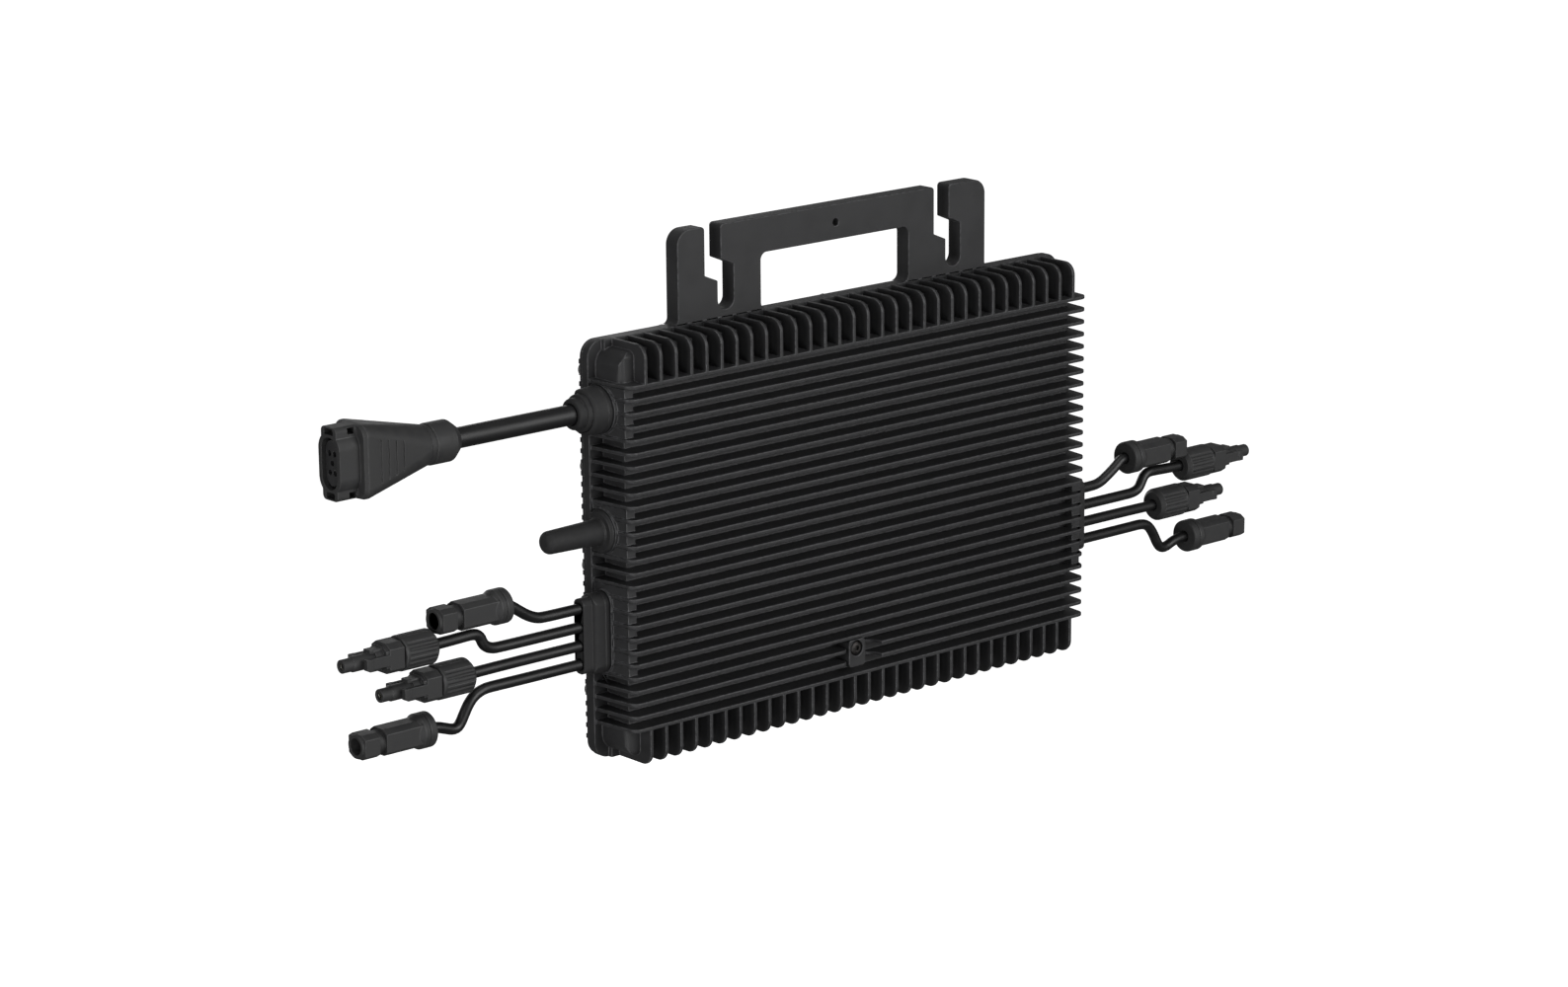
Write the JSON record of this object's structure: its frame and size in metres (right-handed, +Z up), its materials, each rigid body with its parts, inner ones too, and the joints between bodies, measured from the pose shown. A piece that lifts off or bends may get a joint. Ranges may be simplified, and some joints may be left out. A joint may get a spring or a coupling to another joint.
{
  "type": "solar microinverter",
  "caption": "Black finned solar microinverter with a slotted hanging bracket, a short AC lead with a round connector, an antenna stub and paired DC leads on both sides.",
  "frame": {"origin": "on the rear face of the hanging bracket, on the axis of its small round hole", "axes": "+X to the right seen from the finned front, +Y from the fins to the rear, +Z up as it hangs"},
  "size_m": [0.6407, 0.0378, 0.2685],
  "materials": {
    "cast_powder_coat": "fine satin powder coat on die-cast aluminium",
    "plate_powder_coat": "fine satin powder coat on pressed sheet",
    "silicone_seal": "matte moulded silicone",
    "stainless_steel": "bright cold-formed steel",
    "moulded_polyamide": "fine-grained moulding",
    "connector_insert": "smooth moulding",
    "tinned_copper": "bright tin plating",
    "ac_cable_jacket": "semi-gloss extruded jacket",
    "dc_cable_jacket": "semi-gloss extruded jacket",
    "board_laminate": "solder resist over glass laminate",
    "ferrite": "sintered, matte",
    "copper_winding": "enamelled copper wire",
    "thermal_pad": "soft matte silicone",
    "capacitor_can": "satin drawn can",
    "film_case": "glossy moulded case",
    "component_case": "matte moulded epoxy"
  },
  "bodies": {
    "root": {"finned_housing": "cast_powder_coat", "rear_cover": "plate_powder_coat", "cover_gasket": "silicone_seal", "cover_screws": "stainless_steel", "ground_screw": "stainless_steel", "ground_washer": "stainless_steel", "ac_gland": "moulded_polyamide", "ac_gland_seal": "silicone_seal", "ac_cable": "ac_cable_jacket", "ac_connector_nut": "moulded_polyamide", "ac_connector_body": "moulded_polyamide", "ac_connector_insert": "connector_insert", "ac_connector_contacts": "tinned_copper", "antenna_cover": "moulded_polyamide", "antenna_rod": "tinned_copper", "dc_gland_left": "moulded_polyamide", "dc_gland_seal_left": "silicone_seal", "dc_cable_left_1": "dc_cable_jacket", "dc_cable_left_2": "dc_cable_jacket", "dc_cable_left_3": "dc_cable_jacket", "dc_cable_left_4": "dc_cable_jacket", "dc_socket_left_1": "moulded_polyamide", "dc_socket_left_4": "moulded_polyamide", "socket_cap_left_1": "moulded_polyamide", "socket_cap_left_4": "moulded_polyamide", "dc_plug_left_2": "moulded_polyamide", "dc_plug_left_3": "moulded_polyamide", "plug_nut_left_2": "moulded_polyamide", "plug_nut_left_3": "moulded_polyamide", "dc_gland_right": "moulded_polyamide", "dc_gland_seal_right": "silicone_seal", "dc_cable_right_1": "dc_cable_jacket", "dc_cable_right_2": "dc_cable_jacket", "dc_cable_right_3": "dc_cable_jacket", "dc_cable_right_4": "dc_cable_jacket", "dc_socket_right_1": "moulded_polyamide", "dc_socket_right_4": "moulded_polyamide", "socket_cap_right_1": "moulded_polyamide", "socket_cap_right_4": "moulded_polyamide", "dc_plug_right_2": "moulded_polyamide", "dc_plug_right_3": "moulded_polyamide", "plug_nut_right_2": "moulded_polyamide", "plug_nut_right_3": "moulded_polyamide", "socket_pins": "tinned_copper", "plug_sleeves": "tinned_copper", "main_board": "board_laminate", "board_screws": "stainless_steel", "transformer_cores": "ferrite", "transformer_winding_1": "copper_winding", "transformer_winding_2": "copper_winding", "transformer_winding_3": "copper_winding", "transformer_winding_4": "copper_winding", "thermal_pads": "thermal_pad", "input_capacitors": "capacitor_can", "film_capacitor": "film_case", "output_choke": "copper_winding", "grid_relay": "component_case", "power_transistors": "component_case", "radio_module": "board_laminate"}
  },
  "joints": []
}
